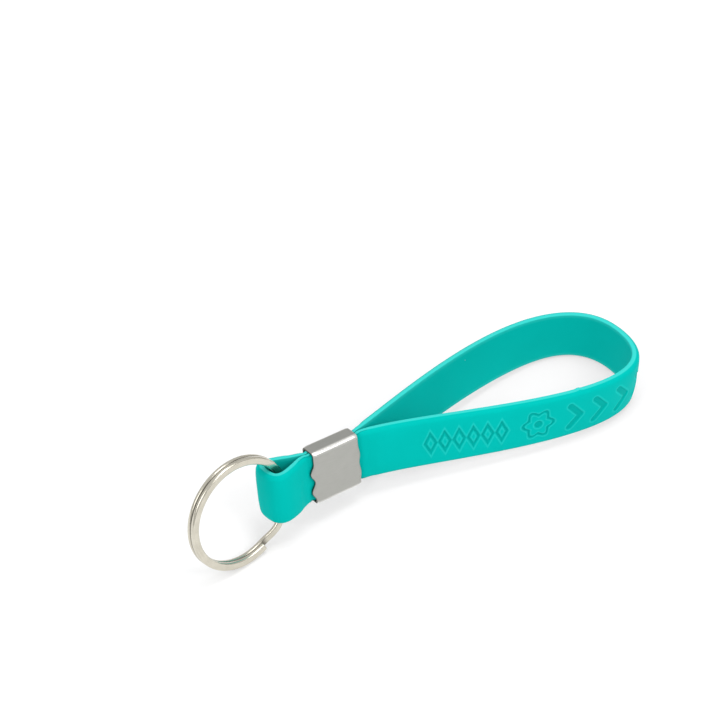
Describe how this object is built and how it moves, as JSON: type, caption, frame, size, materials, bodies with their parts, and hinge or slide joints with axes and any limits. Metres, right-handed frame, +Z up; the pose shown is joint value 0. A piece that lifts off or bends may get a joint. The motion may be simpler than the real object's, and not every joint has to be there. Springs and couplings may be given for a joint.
{
  "type": "silicone key strap",
  "caption": "Endless silicone strap pinched by a crimped metal sleeve into a wrist loop and a small eye that carries a split key ring; shown resting on its edge.",
  "frame": {"origin": "on the floor under the middle of the part's outline, in its resting pose", "axes": "+Z up from the floor, +X along the strap from the split ring to the far end of the wrist loop, -Y to the side that the clasp's front plate faces"},
  "size_m": [0.1124, 0.028, 0.0247],
  "materials": {
    "silicone": "satin",
    "clasp_steel": "satin nickel plate",
    "ring_steel": "bright nickel plate"
  },
  "bodies": {
    "strap": {"silicone_band": "silicone", "crimp_clasp": "clasp_steel"},
    "ring": {"split_ring": "ring_steel"}
  },
  "joints": [
    {"name": "ring_swing", "type": "hinge", "parent": "strap", "child": "ring", "pos_m": [-0.0331, 0.00236, 0.01142], "axis": [0.0558, 0.2333, 0.9708], "range_deg": [-105, 105]}
  ]
}
